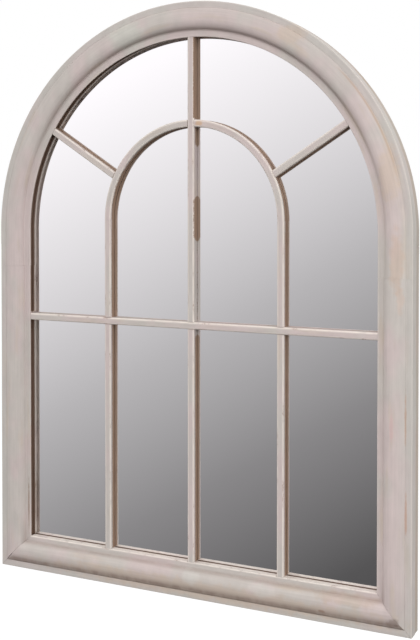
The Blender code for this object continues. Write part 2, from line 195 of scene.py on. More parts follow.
# %% Place the camera
camera_place = (0.9456, -1.8739, 0.7395)
camera_turn = math.radians(26.14)
camera_dip = math.radians(1.14)
camera = show("camera", bpy.data.cameras.new("camera"))
camera.location = camera_place
camera.rotation_euler = (math.pi / 2 - camera_dip, 0, camera_turn)
camera.data.lens = 61.28
camera.data.sensor_width = 36
camera.data.shift_y = -0.161
bpy.context.scene.camera = camera
print("camera %.2f m in front of the wall" % abs(camera_place[1]))

# %% [markdown]
# The studio is white. What the mirror shows is a large soft card that fades from white, up on the
# left, to grey, low on the right, so the world gives reflected rays a ramp by their direction.
# Paint gets its light from a dome that is bright above and dim below, and from three wide lamps.

# %% Light the studio
world = bpy.data.worlds.new("studio")
bpy.context.scene.world = world
world.use_nodes = True
sky = world.node_tree
sky.nodes.clear()
direction = out(sky, "ShaderNodeTexCoord", key="Generated")
card_slope = 0.58
card_tones = [(-0.36, 40), (-0.152, 87), (-0.013, 138), (0.126, 184), (0.265, 226), (0.4, 257), (0.48, 266)]
card_low, card_high = card_tones[0][0], card_tones[-1][0]
card = direction.vector("DOT_PRODUCT", (-card_slope, 0, 1)).ranged(card_low, card_high)
ramp = put(sky, "ShaderNodeValToRGB", {"Fac": card})
while len(ramp.color_ramp.elements) < len(card_tones):
    ramp.color_ramp.elements.new(0.5)
for stop, (place, level) in zip(ramp.color_ramp.elements, card_tones):
    stop.position = (place - card_low) / (card_high - card_low)
    stop.color = tone(level, level * 0.988, level)
dome_low, dome_high = 0.2, 0.98
height = out(sky, "ShaderNodeSeparateXYZ", {0: direction}, "Z")
dome = height.between(-0.5, 0.4) * (dome_high - dome_low) + dome_low
lit = out(sky, "ShaderNodeLightPath", key="Is Glossy Ray").mix(dome, ramp.outputs["Color"])
seen = out(sky, "ShaderNodeLightPath", key="Is Camera Ray").mix(lit, (1, 1, 1, 1))
backdrop = out(sky, "ShaderNodeBackground", {"Color": seen, "Strength": 1})
put(sky, "ShaderNodeOutputWorld", {"Surface": backdrop})


def soft_lamp(name, place, aim, size, power):
    """A wide square lamp that looks at one point and doesn't show in the mirror."""
    lamp = show(name, bpy.data.lights.new(name, "AREA"))
    lamp.data.size = size
    lamp.data.energy = power
    lamp.location = place
    lamp.rotation_euler = (Vector(aim) - Vector(place)).to_track_quat("-Z", "Y").to_euler()
    lamp.visible_glossy = False


soft_lamp("key_lamp", (1.1, -2.5, 2.2), (0, 0, 0.5), 2.0, 25)
soft_lamp("right_lamp", (3.3, -1.5, 0.9), (0, 0, 0.4), 1.8, 26)
soft_lamp("left_lamp", (-3.3, -1.5, 0.9), (0, 0, 0.4), 1.8, 12)
print("dome from %.2f to %.2f" % (dome_low, dome_high))

# %% [markdown]
# The floor is a plain pale sheet at the frame's foot. It glows for the camera alone, so that it
# stays white to its edge, and it throws no light back on the paint.

# %% Lay the floor


def lay_floor(reach):
    """A square floor at the level of the frame's foot."""
    mesh = bpy.data.meshes.new("floor")
    corners = [(x * reach, y * reach, foot_level) for x, y in ((-1, -1), (1, -1), (1, 1), (-1, 1))]
    mesh.from_pydata(corners, [], [(0, 1, 2, 3)])
    floor = show("floor", mesh)
    floor.visible_diffuse = False
    floor.visible_glossy = False
    pale, shader = blank_material("pale_floor")
    feed(shader, {"Base Color": (0.06, 0.06, 0.06, 1), "Roughness": 0.9,
                  "Emission Color": (1, 1, 1, 1), "Emission Strength": 0.98})
    mesh.materials.append(pale)


lay_floor(12)
bpy.context.scene.view_settings.view_transform = "Standard"

# %% [markdown]
# Mouldings and glazing bars are straight or curved lengths of one section, as they come off a
# spindle moulder. The section is an outline of points. Each point carries five notes for the
# paint: how much dirt and painted shade it takes in the hollows, how worn it is and how much
# painted highlight its arrises and reveals take, whether it shows, how bare it is, because the brush
# never reached the strip beside the glass, and how near the grey lip.

# %% Draw the sections


def noted(notes, share):
    """Notes part of the way along a stretch; a note may be a pair, from first to last."""
    pairs = {name: value if isinstance(value, tuple) else (value, value) for name, value in notes.items()}
    return {name: first + (last - first) * share for name, (first, last) in pairs.items()}


class Section:
    """A closed outline of (across, depth) points that is swept along a path, with paint notes."""

    plain = {"hollow": 0.0, "rubbed": 0.0, "shown": 1.0, "bare": 0.0, "lip": 0.0}

    def __init__(self):
        self.points = []
        self.notes = []

    def add(self, across, depth, **notes):
        self.points.append((across, depth))
        self.notes.append({**self.plain, **notes})

    def line(self, end, steps, **notes):
        """Points from the last one to the end."""
        start = self.points[-1]
        for i in range(1, steps + 1):
            share = i / steps
            self.add(start[0] + (end[0] - start[0]) * share, start[1] + (end[1] - start[1]) * share,
                     **noted(notes, share))

    def corner(self, centre, radius, quarter, steps, rubbed=1.0, **notes):
        """A rounded arris, as one quarter of a circle counted from 0 to 3."""
        for i in range(steps + 1):
            share = i / steps
            angle = (quarter + share) * QUARTER
            # The arc's middle is the most worn and takes the most painted highlight.
            middle = 1 - abs(2 * share - 1)
            self.add(centre[0] + radius * math.cos(angle), centre[1] + radius * math.sin(angle),
                     rubbed=rubbed * (0.4 + 0.6 * middle), **noted(notes, share))

    def object(self, name):
        """The section as a loop of edges with its notes; its last point lies on the first and goes."""
        self.points.pop()
        self.notes.pop()
        mesh = bpy.data.meshes.new(name)
        count = len(self.points)
        mesh.from_pydata([(across, depth + lip_plane, 0) for across, depth in self.points],
                         [(i, (i + 1) % count) for i in range(count)], [])
        girth = [0.0]
        for here, there in zip(self.points, self.points[1:]):
            girth.append(girth[-1] + math.dist(here, there))
        columns = {"across": [across for across, depth in self.points], "girth": girth}
        for label in self.plain:
            columns[label] = [note[label] for note in self.notes]
        for label, values in columns.items():
            mesh.attributes.new(label, "FLOAT", "POINT").data.foreach_set("value", values)
        return show(name, mesh)


QUARTER = math.pi / 2
lip_width = 0.0125
lip_radius = 0.0012
lip_fall = 0.0004
torus_crest = 0.0335
torus_proud = head_low.y - lip_plane
band_depth = 0.0095
band_drop = 0.0005
undercut_fall = 0.0004
paint_fade = 0.0012
foot_width = 0.003
glass_foot = 0.0034
bar_radius = 0.003
bar_painted = 0.0028
back_arris = 0.001


def near(value, middle, reach):
    """1 at the middle, fading to 0 over a reach."""
    return math.exp(-((value - middle) / reach) ** 2)


def torus_depth(across, end, cove, fullness):
    """Depth of the torus at one place, run into the inner band by a small cove."""
    if across > end:
        depth = band_depth + (across - end) * 3
    else:
        outer = across < torus_crest
        foot, reach = (lip_fall, torus_crest - lip_width) if outer else (band_depth, end - torus_crest)
        side = (across - torus_crest) / reach
        depth = foot + (torus_proud - foot) * max(0, 1 - side * side) ** (fullness if outer else 0.5)
    return max(torus_proud, -cove * math.log(math.exp(-depth / cove) + math.exp(-band_depth / cove)))


def moulding_front(section, end, cove, fullness, flank_shade):
    """The flat lip and the broad torus, with painted shade where the one meets the other."""
    section.add(0, front_depth, shown=0.3)
    section.line((0, lip_radius), 8, shown=0.3, lip=1)
    section.corner((lip_radius, lip_radius), lip_radius, 2, 4, rubbed=0.4, lip=1)
    section.line((lip_width - lip_fall, 0), 6, lip=(1, 0.7))
    section.corner((lip_width - lip_fall, lip_fall), lip_fall, 3, 3, rubbed=0.0, lip=0.5)
    steps = 44
    for i in range(1, steps + 1):
        across = (lip_width + end) / 2 - (end - lip_width) / 2 * math.cos(math.pi * i / steps)
        near_lip = near(across, lip_width, 0.011)
        # Painted shade with some dirt in the cove, and along the torus's outer flank beside the lip.
        section.add(across, torus_depth(across, end, cove, fullness), lip=near_lip * 0.5,
                    hollow=min(1, near(across, end, 0.004) * 0.6 + near_lip * flank_shade))


def moulding_section(end, cove, fullness, undercut=0.0, band_radius=0.0014, flank_shade=0.12, edge_wear_and_highlight=0.3,
                     paint_end=-0.003):
    """The frame's front: lip, torus, cove, and an inner band with a worn, highlighted edge over the reveal.

    The band's edge and the reveal take a painted highlight, and the deep reveal painted shade with
    some dirt. The paint on the reveal fades out at its own distance from the back of the front layer,
    and a narrow foot of bare wood stands in the thickness of the glass.
    """
    section = Section()
    moulding_front(section, end, cove, fullness, flank_shade)
    edge = face_width - band_radius
    # The band runs on from the cove, whose painted shade with some dirt fades out here.
    for i in range(1, 10):
        across = end + (edge - end) * i / 10
        section.add(across, torus_depth(across, end, cove, fullness), hollow=0.6 * near(across, end, 0.0025))
    arris = band_depth + band_radius
    inner = face_width - undercut
    painted = front_depth + paint_end
    foot = front_depth + glass_foot
    section.corner((edge, arris), band_radius, 3, 9, rubbed=edge_wear_and_highlight)
    # The edge, the reveal and the undercut's underside take a painted highlight; deeper in, painted shade
    # with some dirt darkens the bare wood.
    section.line((face_width, arris + band_drop), 1, rubbed=0.8)
    if undercut:
        section.line((inner, arris + band_drop + undercut_fall), 4, shown=0, rubbed=0.8)
    section.line((inner, painted), 4, shown=0, rubbed=0.8)
    section.line((inner, painted + paint_fade), 2, bare=(0, 1), hollow=(0, 0.8))
    section.line((inner, foot), 3, bare=1, hollow=0.8)
    section.line((inner - foot_width, foot), 1, shown=0, bare=1)
    section.line((inner - foot_width, front_depth), 1, shown=0, bare=1)
    section.line((0, front_depth), 6, shown=0, bare=1)
    return section


def bar_section(bare_side):
    """A glazing bar: two rounded front arrises, and sides that may stay bare beside the glass."""
    front = bar_plane - lip_plane
    back = bar_back - lip_plane + glass_foot
    shoulder = front + bar_radius
    painted = shoulder + bar_painted
    half = bar_width / 2
    section = Section()
    section.add(-half, back, shown=0, bare=1)
    section.line((-half, painted), 4, bare=(1.3 * bare_side, 0.8 * bare_side))
    section.line((-half, shoulder), 2, bare=(0.3 * bare_side, 0.0))
    section.corner((bar_radius - half, shoulder), bar_radius, 2, 6)
    section.line((half - bar_radius, front), 5)
    section.corner((half - bar_radius, shoulder), bar_radius, 3, 6, bare=(0.0, 0.1 * bare_side))
    section.line((half, painted), 2, bare=(0.1 * bare_side, 0.3 * bare_side))
    section.line((half, back), 4, bare=(0.8 * bare_side, 1.3 * bare_side))
    section.line((-half, back), 2, shown=0, bare=1)
    return section


def back_section():
    """The plain layer behind: washed outside, bare on the back and round the opening."""
    outer = outer_radius - back_arch_high.x
    inner = back_stile_high.x - back_stile_low.x + outer
    front = back_stile_low.y - lip_plane
    back = back_stile_high.y - lip_plane
    arris = back - back_arris
    section = Section()
    section.add(outer, arris, shown=0.3)
    section.line((outer, front), 8, shown=0.3, bare=(0.35, 0.0))
    section.line((inner, front), 6, shown=0, bare=1)
    section.line((inner, arris), 6, bare=1)
    section.corner((inner - back_arris, arris), back_arris, 0, 3)
    section.line((outer + back_arris, back), 12, bare=1)
    section.corner((outer + back_arris, arris), back_arris, 1, 3)
    return section


# On the rail, painted shade darkens the down-facing outer flank, and the band's edge takes a strong painted
# highlight.
sections = {
    "stile": moulding_section(end=0.054, cove=0.0015, fullness=0.6, undercut=0.0058),
    "rail": moulding_section(end=0.054, cove=0.0015, fullness=0.52, band_radius=0.0023, flank_shade=1.5,
                             edge_wear_and_highlight=1.0, paint_end=0.0004),
    "head": moulding_section(end=0.0518, cove=0.0028, fullness=0.63, undercut=0.005),
    "bar": bar_section(bare_side=1),
    "level_bar": bar_section(bare_side=0.3),
    "back": back_section()}
guides = {name: section.object(name + "_section") for name, section in sections.items()}
print("section points:", {name: len(section.points) for name, section in sections.items()})

# %% [markdown]
# A Geometry Nodes tree does the spindle moulder's work. It sweeps a section along a path that is
# drawn flat, leans the ends for mitres, lets the surface sink a little by a noise, as hand-rubbed
# paint does, and then stands the piece upright. The run and girth become a UV map, so that brush
# marks follow the wood. Nothing ever rises above the true section.

# %% Build the sweeping tree


def new_tree(name, inputs, output):
    """A Geometry Nodes tree with named inputs and one output, and its input sockets."""
    tree = bpy.data.node_groups.new(name, "GeometryNodeTree")
    for label, kind in inputs.items():
        tree.interface.new_socket(name=label, in_out="INPUT", socket_type="NodeSocket" + kind)
    tree.interface.new_socket(name=output, in_out="OUTPUT", socket_type="NodeSocketGeometry")
    return tree, put(tree, "NodeGroupInput").outputs


def ended(tree, geometry, finish):
    """Makes instances real, sets the finish and ends the tree."""
    loose = out(tree, "GeometryNodeRealizeInstances", {0: geometry})
    dressed = out(tree, "GeometryNodeSetMaterial", {"Geometry": loose, "Material": finish})
    put(tree, "NodeGroupOutput", {0: dressed})
    return tree


def store(tree, geometry, label, value, kind="FLOAT", domain="POINT"):
    """Keeps a value on the geometry under a label."""
    values = {"Geometry": geometry, "Name": label, "Value": value}
    return out(tree, "GeometryNodeStoreNamedAttribute", values, data_type=kind, domain=domain)


def read(tree, label, kind="FLOAT"):
    """A value that the geometry carries under a label."""
    return out(tree, "GeometryNodeInputNamedAttribute", {"Name": label}, data_type=kind)


def moved(tree, geometry, direction, distance):
    """Moves the geometry's points along a direction."""
    offset = out(tree, "ShaderNodeVectorMath", {0: direction, "Scale": distance}, operation="SCALE")
    return out(tree, "GeometryNodeSetPosition", {"Geometry": geometry, "Offset": offset})


def leant_stock(tree, given):
    """The section swept along the path, its ends leant for mitres, and how far each point moved."""
    spline = put(tree, "GeometryNodeSplineParameter").outputs
    heading = out(tree, "GeometryNodeInputTangent")
    path = out(tree, "GeometryNodeMeshToCurve", {0: given["Path"]})
    path = out(tree, "GeometryNodeSetCurveNormal", {0: path}, mode="Z_UP")
    path = store(tree, path, "run", spline["Length"])
    path = store(tree, path, "share", spline["Factor"])
    path = store(tree, path, "heading", heading, "FLOAT_VECTOR")
    drawn = out(tree, "GeometryNodeObjectInfo", {0: given["Section"]}, "Geometry")
    drawn = out(tree, "GeometryNodeMeshToCurve", {0: drawn})
    body = out(tree, "GeometryNodeCurveToMesh", {"Curve": path, "Profile Curve": drawn, "Fill Caps": True})
    leans = {0: read(tree, "share"), 2: given["Lean at start"], 3: given["Lean at end"]}
    shift = out(tree, "ShaderNodeMix", leans) * read(tree, "across")
    return moved(tree, body, read(tree, "heading", "FLOAT_VECTOR"), shift), shift


def sweeping_tree():
    """Geometry Nodes that turn a flat path and a section into a finished length of stock."""
    inputs = {"Path": "Geometry", "Section": "Object", "Lean at start": "Float", "Lean at end": "Float",
              "Wear": "Float", "Grain shift": "Float", "Finish": "Material"}
    tree, given = new_tree("sweep_stock", inputs, "Piece")
    body, shift = leant_stock(tree, given)
    run = read(tree, "run") + shift + given["Grain shift"]
    place = out(tree, "ShaderNodeCombineXYZ", {0: run, 1: read(tree, "girth"), 2: given["Grain shift"]})
    body = store(tree, body, "stock", place, "FLOAT2", "CORNER")
    dents = place.noise((14, 60, 1)) * given["Wear"]
    sink = dents * (read(tree, "rubbed") * 1.6 + 1.0) * read(tree, "shown")
    body = moved(tree, body, out(tree, "GeometryNodeInputNormal"), sink * -1.0)
    upright = out(tree, "GeometryNodeTransform", {"Geometry": body, "Rotation": (QUARTER, 0, 0)})
    return ended(tree, upright, given["Finish"])


sweep = sweeping_tree()
print("sweeping tree: %d nodes" % len(sweep.nodes))

# %% [markdown]
# Small hardware repeats, so a second tree puts one mesh on many points, each turned about the
# wall's axis by its own angle, and makes the copies real.

# %% Build the scattering tree


def scattering_tree():
    """Geometry Nodes that copy one object to points, turned about Y by their turn attribute."""
    inputs = {"Places": "Geometry", "Copied": "Object", "Finish": "Material"}
    tree, given = new_tree("scatter_hardware", inputs, "Pieces")
    one = out(tree, "GeometryNodeObjectInfo", {0: given["Copied"]}, "Geometry")
    rotation = out(tree, "ShaderNodeCombineXYZ", {1: read(tree, "turn")})
    values = {"Points": given["Places"], "Instance": one, "Rotation": rotation}
    return ended(tree, out(tree, "GeometryNodeInstanceOnPoints", values), given["Finish"])


scatter = scattering_tree()
print("scattering tree: %d nodes" % len(scatter.nodes))

# %% [markdown]
# A tree runs as a modifier. Its inputs are set by their identifiers before the first evaluation,
# the result becomes a plain mesh, and the modifier goes. A joint is then cut by a box, as a
# joiner's chisel would, with an exact Boolean.

# %% Sweep and joint pieces
smooth_angle = math.radians(38)
dent_depth = 0.00012
spacing = 0.004


def from_shape(name, shape):
    """A bmesh as a new object."""
    mesh = bpy.data.meshes.new(name)
    shape.to_mesh(mesh)
    shape.free()
    return show(name, mesh)


def plain_mesh(carrier, name):
    """The evaluated mesh of an object with modifiers, as a new plain object."""
    depsgraph = bpy.context.evaluated_depsgraph_get()
    mesh = bpy.data.meshes.new_from_object(carrier.evaluated_get(depsgraph))
    bpy.data.objects.remove(carrier)
    return show(name, mesh)


def grown(name, carrier, tree, settings):
    """Runs a node tree on a carrier with named inputs and returns the plain result."""
    tool = carrier.modifiers.new("grow", "NODES")
    tool.node_group = tree
    for item in tree.interface.items_tree:
        if item.in_out == "INPUT" and item.name in settings:
            tool[item.identifier] = settings[item.name]
    return plain_mesh(carrier, name)


def settle(piece):
    """Points the faces outwards and shades them smooth up to the sharp edges."""
    shape = bmesh.new()
    shape.from_mesh(piece.data)
    bmesh.ops.recalc_face_normals(shape, faces=shape.faces)
    shape.to_mesh(piece.data)
    shape.free()
    piece.data.shade_smooth()
    piece.data.set_sharp_from_angle(angle=smooth_angle)
    return piece


def swept(name, points, section, finish, leans=(0, 0), shift=0.0):
    """A length of stock along a path of (x, height) points, as a plain mesh."""
    mesh = bpy.data.meshes.new(name)
    mesh.from_pydata([(x, z, 0) for x, z in points], [(i, i + 1) for i in range(len(points) - 1)], [])
    settings = {"Section": guides[section], "Lean at start": leans[0], "Lean at end": leans[1],
                "Wear": dent_depth, "Grain shift": shift, "Finish": finish}
    return settle(grown(name, show(name + "_path", mesh), sweep, settings))


def chisel(centre, size, turn=0.0):
    """A box cutter, turned about Y."""
    shape = bmesh.new()
    bmesh.ops.create_cube(shape, size=1)
    place = Matrix.Translation(centre) @ Matrix.Rotation(turn, 4, "Y") @ Matrix.Diagonal((*size, 1))
    bmesh.ops.transform(shape, matrix=place, verts=shape.verts)
    return from_shape("cutter", shape)


def box_cutter(low, high):
    """A box cutter from its two corners."""
    low, high = Vector(low), Vector(high)
    return chisel((low + high) / 2, high - low)


def plug(place, radius, depth, segments):
    """A round cutter along Y."""
    shape = bmesh.new()
    turn = Matrix.Translation(place) @ Matrix.Rotation(QUARTER, 4, "X")
    bmesh.ops.create_cone(shape, cap_ends=True, segments=segments, radius1=radius, radius2=radius,
                          depth=depth, matrix=turn)
    return from_shape("plug", shape)


def carve(piece, cutters):
    """Cuts solid objects out of a piece and removes them."""
    for cutter in cutters:
        tool = piece.modifiers.new("joint", "BOOLEAN")
        tool.operation = "DIFFERENCE"
        tool.solver = "EXACT"
        tool.object = cutter
    made = plain_mesh(piece, piece.name)
    for cutter in cutters:
        bpy.data.objects.remove(cutter)
    made.data.set_sharp_from_angle(angle=smooth_angle)
    return made


def stations(start, end):
    """Evenly spaced points between two (x, height) points."""
    count = max(1, round(math.dist(start, end) / spacing))
    return [(start[0] + (end[0] - start[0]) * i / count, start[1] + (end[1] - start[1]) * i / count)
            for i in range(count + 1)]


def round_arch(radius, level, leg):
    """Points up a leg, over a half circle from left to right and down the other leg."""
    count = round(math.pi * radius / spacing / 2) * 2
    points = stations((-radius, level - leg), (-radius, level))[:-1]
    for i in range(count + 1):
        angle = math.pi * (1 - i / count)
        points.append((radius * math.cos(angle), level + radius * math.sin(angle)))
    return points + stations((radius, level), (radius, level - leg))[1:]


def dress(piece, slot, *nodes, body="root"):
    """Hangs a finished piece on its body and hides the imported nodes that it stands for; the slot is not
    used.
    """
    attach(piece, body)
    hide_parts(*nodes)


# %% [markdown]
# Whitewash is thin paint on bare wood. The layers, from below: brown wood with grain, a patchy wash
# that wanders between pink, tan and green greys, long brush streaks, lighter dabs, a painted
# highlight on arrises and inner reveals, dirt and painted shade in the hollows and recesses and on the
# rail's lower flank, and wood that shows again on rubbed arrises and where the brush never reached.
# A patch is a place (x, z), a reach in x and z, a tone and a share. A brushed length (x, low, high,
# push) is a stretch of an upright bar whose sides are barer, or better painted, than the others'.

# %% Mix the whitewash
patches = [
    (0.048, -0.008, 0.42, 0.02, 203, 185, 169, 0.68),
    (0.407, 0.625, 0.014, 0.06, 204, 176, 156, 0.45),
    (0.21, 1.03, 0.034, 0.02, 204, 182, 162, 0.45),
    (0.391, 0.775, 0.022, 0.06, 204, 184, 166, 0.55),
    (0.154, 0.013, 0.03, 0.014, 208, 203, 196, 0.65),
    (0.005, 0.014, 0.02, 0.016, 208, 203, 197, 0.65),
    (-0.374, 0.104, 0.0022, 0.06, 150, 122, 104, 0.75),
    (0.271, -0.006, 0.007, 0.003, 150, 112, 88, 0.55),
    (0.402, -0.007, 0.016, 0.01, 148, 134, 128, 0.7),
    (0.018, 0.877, 0.009, 0.007, 206, 172, 140, 0.8),
    (-0.132, 1.048, 0.045, 0.03, 204, 203, 194, 0.6),
    (0.423, 0.352, 0.0022, 0.05, 190, 152, 126, 0.55),
    (0.424, 0.187, 0.0026, 0.045, 190, 148, 124, 0.6),
    (0.399, 0.337, 0.004, 0.03, 214, 182, 180, 0.55),
    (0.413, 0.559, 0.008, 0.03, 204, 180, 164, 0.45),
    (0.315, 0.021, 0.07, 0.012, 194, 172, 154, 0.45),
    (0.408, -0.009, 0.006, 0.0035, 130, 116, 110, 0.6),
    (-0.366, 0.228, 0.005, 0.09, 196, 166, 146, 0.45)]
brushed_lengths = [(0, 0.885, 1.1, 0.6), (0, 0.735, 0.835, -0.9), (0, 0.655, 0.735, 0.45),
                   (0, 0.47, 0.655, -0.85), (-0.162, 0.505, 0.79, 0.35), (0.162, 0.505, 0.79, 0.35)]
brush_end = 0.005
drag_place = 0.015
# The third tone here is a painted highlight for arrises and reveals.
lip_tone, drag_tone, highlight_tone = tone(192, 188, 182), tone(176, 146, 122), tone(242, 232, 222)
# Both tones here darken hollows and recesses: dirt and painted shade.
shaded_dirty_wood, dirt_and_shade_tone = tone(92, 68, 56), tone(128, 108, 98)


def surface(tree):
    """Where a point lies on a piece, the notes it carries and the grime that several layers share."""
    spot = out(tree, "ShaderNodeTexCoord", key="Object")
    on = SimpleNamespace(spot=spot, stock=out(tree, "ShaderNodeUVMap", uv_map="stock"),
                         side=out(tree, "ShaderNodeSeparateXYZ", {0: spot}, "X"),
                         level=out(tree, "ShaderNodeSeparateXYZ", {0: spot}, "Z"),
                         grime=spot.noise((46, 46, 24), 3.0, 0.6))
    for label in ("across", "hollow", "rubbed", "bare", "lip"):
        setattr(on, label, out(tree, "ShaderNodeAttribute", key="Fac", attribute_name=label))
    return on


def patched(spot, paint, strength):
    """Soft ragged patches of other paint."""
    ragged = spot.noise((70, 70, 70), 3.0, 0.6) * 1.4 - 0.7
    for x, z, reach_x, reach_z, red, green, blue, share in patches:
        away = spot.vector("SUBTRACT", (x, 0, z)).vector("MULTIPLY", (1 / reach_x, 0, 1 / reach_z))
        inside = (away.vector("LENGTH") + ragged).between(1.15, 0.45)
        paint = (inside * (share * strength)).mix(paint, tone(red, green, blue))
    return paint


def wash(on, paints, strength):
    """The wash: tones that wander, a grey lip, patches, one dragged tan line and painted highlights on
    arrises.
    """
    drifts = on.stock.noise((7, 42, 1), 3.0)
    paint = on.spot.noise((13, 13, 9)).between(0.4, 0.6).mix(paints[0], paints[1])
    paint = (drifts.between(0.54, 0.74) * 0.75).mix(paint, paints[2])
    paint = (on.lip * (0.6 * strength)).mix(paint, lip_tone)
    paint = patched(on.spot, paint, strength)
    drag = abs(on.across - drag_place).between(0.003, 0.0) * drifts.between(0.4, 0.6)
    drag = drag * on.side.between(0.05, 0.3) * on.level.between(0.7, 0.85)
    paint = (drag * (0.6 * strength)).mix(paint, drag_tone)
    # Painted highlight: arrises and reveals are lightened toward a pale tone, in blotches.
    highlight = on.rubbed * on.grime.between(0.85, 0.35)
    return (highlight * (0.9 * strength)).mix(paint, highlight_tone)


def bared(on, strength):
    """Where wood shows through: rubbed arrises, and strips beside the glass with ragged edges."""
    grit = on.spot.noise((420, 420, 420), 3.0, 0.65)
    beside = on.bare.between(0.0, 0.05)
    bare = on.bare
    for x, low, high, push in brushed_lengths:
        here = on.level.between(low - brush_end, low + brush_end) * beside
        here = here * on.level.between(high + brush_end, high - brush_end)
        bare = bare + here * abs(on.side - x).between(0.02, 0.012) * (push * strength)
    worn = on.rubbed * on.grime.between(0.58, 0.68) * grit.between(0.46, 0.58) * (0.75 * strength)
    return (bare + grit * 0.9 - 0.45).between(0.42, 0.58).maths("MAXIMUM", worn)


def washed_wood(name, paints, woods, cover, strength=1.0):
    """Thin paint over wood: three paint tones, two wood tones and how much of it the paint covers."""
    made, shader = blank_material(name)
    tree = made.node_tree
    on = surface(tree)
    streaks = on.stock.noise((9, 280, 1), 2.0, 0.6)
    strands = on.stock.noise((30, 1900, 1), 2.0, 0.6)
    # On the frame's sides the dirt and painted shade are cut back, and the right side's paint is made 4%
    # lighter.
    frame_sides = abs(on.side).between(0.3, 0.37) * on.level.between(0.02, 0.08)
    pale = frame_sides * on.side.between(0.0, 0.3) * 0.04 + 1.0
    shade = streaks.ranged(0.25, 0.75, 0.95, 1.05) * on.grime.ranged(0.3, 0.7, 0.96, 1.05) * pale
    paint = wash(on, paints, strength).vector("MULTIPLY", shade)
    # Dirt and painted shade darken the paint in hollows, recesses and on the rail's lower flank.
    dirt_and_shade = on.hollow * (on.grime.between(0.3, 0.66) * 0.35 + 0.65) * (frame_sides * -0.9 + 1.0)
    paint = (dirt_and_shade * (0.75 * strength)).mix(paint, dirt_and_shade_tone)
    wood = strands.between(0.3, 0.7).mix(*woods)
    # Bare wood goes darker in hollows and recesses: painted shade with some dirt.
    wood = (on.hollow * (0.9 * strength)).mix(wood, shaded_dirty_wood)
    uncovered = bared(on, strength).maths("MAXIMUM", 1.0 - cover)
    relief = uncovered * -0.5 + streaks * 0.6
    bump = out(tree, "ShaderNodeBump", {"Height": relief, "Strength": 0.28, "Distance": 0.0004})
    feed(shader, {"Base Color": uncovered.mix(paint, wood), "Normal": bump, "Roughness": 0.7,
                  "Specular IOR Level": 0.35})
    return made


def mottled_material(name, colours, roughness, metallic, scale, relief):
    """A finish that wanders between two colours and two degrees of gloss, with a slight relief."""
    made, shader = blank_material(name)
    grain = out(made.node_tree, "ShaderNodeTexCoord", key="Object").noise((scale, scale, scale), 4.0, 0.6)
    share = grain.between(0.35, 0.65)
    bump = {"Height": grain, "Strength": relief, "Distance": 0.0003}
    feed(shader, {"Base Color": share.mix(*colours), "Normal": out(made.node_tree, "ShaderNodeBump", bump),
                  "Roughness": share.ranged(0.0, 1.0, *roughness), "Metallic": metallic})
    return made


whitewash = washed_wood("whitewash", (tone(206, 191, 188), tone(200, 192, 186), tone(203, 188, 174)),
                        (tone(150, 122, 104), tone(172, 146, 126)), cover=1.0)
back_wash = washed_wood("back_wash", (tone(190, 180, 172), tone(186, 180, 172), tone(182, 166, 148)),
                        (tone(158, 132, 104), tone(184, 158, 128)), cover=0.8, strength=0.5)
silver, shader = blank_material("mirror_silver")
feed(shader, {"Base Color": (0.985, 0.985, 0.985, 1), "Roughness": 0.0, "Metallic": 1.0})
hardboard = mottled_material("hardboard", (tone(134, 100, 70), tone(118, 84, 57)), (0.7, 0.85),
                             metallic=0.0, scale=900.0, relief=0.4)
zinc = mottled_material("zinc_plate", (tone(200, 202, 206), tone(176, 180, 186)), (0.28, 0.42),
                        metallic=1.0, scale=420.0, relief=0.1)
print("materials:", [m.name for m in (whitewash, back_wash, silver, hardboard, zinc)])

# %% [markdown]
# The front of the frame has an arched head on two stiles and a bottom rail, mitred at the corners.
# Each bar's end is let into the band, so every housing is chiselled out before the bars go in. The
# mitre at the lower left has opened by a hair in its middle, which is a narrow slit.

# %% Sweep the frame's front
mitre = gap * math.sqrt(2) / 2
cut_depth = 0.03
cut_past = 0.004
let_in = 0.004
spoke_angle = math.radians(32.5)
half_bar = bar_width / 2 + seam
head_centre = Vector((0, 0, spring_level))
slit_place = 0.0215
slit_proud = 0.004
slit_size = (0.017, 0.012, 0.0016)


def fit(node, path, section, shift=0.0, cutters=(), leans=(0, 0), name=None):
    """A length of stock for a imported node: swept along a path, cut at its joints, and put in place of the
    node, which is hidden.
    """
    finish, slot = (back_wash, "back_wood") if section == "back" else (whitewash, "whitewash")
    piece = swept(name or "washed_" + node, path, section, finish, leans, shift)
    dress(carve(piece, cutters) if cutters else piece, slot, node)


def spoke_reach(side):
    """The direction of a spoke, from the centre of the head."""
    return Vector((side * math.cos(spoke_angle), 0, math.sin(spoke_angle)))


def end_housing(place, along, depth):
    """The cutter that makes room for a bar's end where it runs into the frame."""
    size = (depth + gap + cut_past, cut_depth, half_bar * 2)
    centre = place + along * ((depth + gap - cut_past) / 2)
    return chisel((centre.x, bar_plane + cut_depth / 2 - gap, centre.z), size, -math.atan2(along.z, along.x))


def slit():
    """The cutter that opens the lower left mitre."""
    middle = (slit_place - outer_radius, lip_plane - slit_proud, foot_level + slit_place)
    return chisel(middle, slit_size, -QUARTER / 2)


cutters = [end_housing(head_centre + reach * sight_radius, reach, let_in)
           for reach in (Vector((0, 0, 1)), spoke_reach(-1), spoke_reach(1))]
fit("arch_head", round_arch(outer_radius, spring_level, spring_level - head_foot), "head", 0.0, cutters)
for side, name, shift in ((-1, "left_stile", 3.1), (1, "right_stile", 5.3)):
    path = stations((side * outer_radius, foot_level + mitre), (side * outer_radius, head_foot - seam))
    place = Vector((side * sight_radius, 0, transom_level))
    cutters = [end_housing(place, Vector((side, 0, 0)), transom_high.x - sight_radius)]
    if side < 0:
        cutters.append(slit())
    fit(name, path[::-side], "stile", shift, cutters, (1, 0) if side < 0 else (0, -1))
path = stations((outer_radius - mitre, foot_level), (mitre - outer_radius, foot_level))
rail_top = foot_level + face_width
cutters = [end_housing(Vector((x, 0, rail_top)), Vector((0, 0, -1)), rail_top - bar_low.z)
           for x in (-bar_place, 0, bar_place)]
